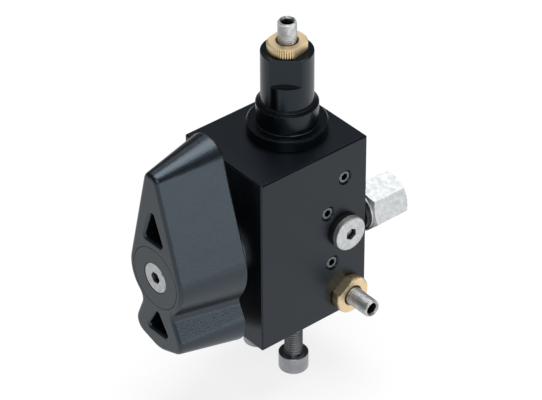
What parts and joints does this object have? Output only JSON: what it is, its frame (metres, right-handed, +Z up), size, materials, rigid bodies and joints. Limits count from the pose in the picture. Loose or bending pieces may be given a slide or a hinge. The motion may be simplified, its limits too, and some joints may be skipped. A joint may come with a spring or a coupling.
{
  "type": "hydraulic panel valve",
  "caption": "Panel-mounted hydraulic selector valve: black drilled block, turning lever handle, relief valve on top, throttle screw, hose adaptor and fixing screws.",
  "frame": {"origin": "on the spindle's axis at the block's front face, which lies against the panel", "axes": "-Y out of the panel face towards the handle, +X towards the throttle's side, +Z up along the relief valve"},
  "size_m": [0.0662, 0.1148, 0.1682],
  "materials": {
    "anodised_block": "black anodised, fine machined",
    "moulded_black": "fine moulded texture",
    "black_steel": "black oxide, satin",
    "brass": "turned",
    "screw_steel": "plain, slightly mottled",
    "plug_steel": "dark with a bright rim",
    "zinc_steel": "bright zinc",
    "stainless_steel": "bright",
    "hardened_steel": "ground",
    "spring_steel": "drawn wire",
    "seal_rubber": "smooth black"
  },
  "bodies": {
    "valve_body": {"valve_block": "anodised_block", "spindle_gland": "zinc_steel", "gland_seal": "seal_rubber", "stop_pin": "hardened_steel", "relief_base_ring": "black_steel", "relief_base_seal": "seal_rubber", "relief_collar": "black_steel", "relief_barrel": "black_steel", "relief_valve_seat": "hardened_steel", "relief_spring": "spring_steel", "gallery_plugs": "plug_steel", "port_plug": "zinc_steel", "port_plug_seal": "seal_rubber", "hose_adaptor": "zinc_steel", "adaptor_seal": "seal_rubber", "check_valve_seat": "hardened_steel", "check_spring": "spring_steel", "face_seals": "seal_rubber", "fixing_screws": "stainless_steel"},
    "selector": {"handle": "moulded_black", "hub_cap": "moulded_black", "handle_screw": "zinc_steel", "selector_spindle": "stainless_steel", "rotor_seals": "seal_rubber"},
    "spring_plunger": {"relief_spring_seat": "hardened_steel", "spring_seat_seal": "seal_rubber"},
    "relief_screw": {"relief_adjusting_screw": "screw_steel"},
    "relief_nut": {"relief_lock_nut": "brass"},
    "relief_cone": {"relief_poppet": "hardened_steel"},
    "needle": {"throttle_needle": "hardened_steel", "needle_seal": "seal_rubber"},
    "throttle_screw": {"throttle_adjusting_screw": "screw_steel"},
    "throttle_nut": {"throttle_lock_nut": "brass"},
    "check_cone": {"check_poppet": "hardened_steel"}
  },
  "joints": [
    {"name": "handle_turn", "type": "hinge", "parent": "valve_body", "child": "selector", "pos_m": [0, 0, 0], "axis": [0, 1, 0], "range_deg": [0, 90]},
    {"name": "relief_plunger_slide", "type": "slide", "parent": "valve_body", "child": "spring_plunger", "axis": [0, 0, 1], "range_m": [-0.00349, 0.00349], "deforming": ["relief_spring"]},
    {"name": "relief_adjust", "type": "hinge", "parent": "spring_plunger", "child": "relief_screw", "pos_m": [0, 0.0345, 0.083], "axis": [0, 0, 1], "range_deg": [-1260, 1260]},
    {"name": "relief_nut_turn", "type": "hinge", "parent": "valve_body", "child": "relief_nut", "pos_m": [0, 0.0345, 0.0844], "axis": [0, 0, 1], "range_deg": [0, 60]},
    {"name": "relief_cone_lift", "type": "slide", "parent": "valve_body", "child": "relief_cone", "axis": [0, 0, 1], "range_m": [0, 0.0015], "stiffness_N_per_m": 8000, "springref_m": -0.001},
    {"name": "throttle_needle_slide", "type": "slide", "parent": "valve_body", "child": "needle", "axis": [1, 0, 0], "range_m": [-0.00199, 0.00174]},
    {"name": "throttle_adjust", "type": "hinge", "parent": "needle", "child": "throttle_screw", "pos_m": [0.03, 0.0465, -0.0333], "axis": [1, 0, 0], "range_deg": [-720, 630]},
    {"name": "throttle_nut_turn", "type": "hinge", "parent": "valve_body", "child": "throttle_nut", "pos_m": [0.0268, 0.0465, -0.0333], "axis": [1, 0, 0], "range_deg": [0, 60]},
    {"name": "check_cone_lift", "type": "slide", "parent": "valve_body", "child": "check_cone", "axis": [0, 0, 1], "range_m": [0, 0.0015], "stiffness_N_per_m": 600, "springref_m": -0.001, "deforming": ["check_spring"]}
  ],
  "couplings": [
    {"joint": "relief_adjust", "follows": "relief_plunger_slide", "rad_per_m": 6283.2},
    {"joint": "throttle_adjust", "follows": "throttle_needle_slide", "rad_per_m": 6283.2}
  ]
}
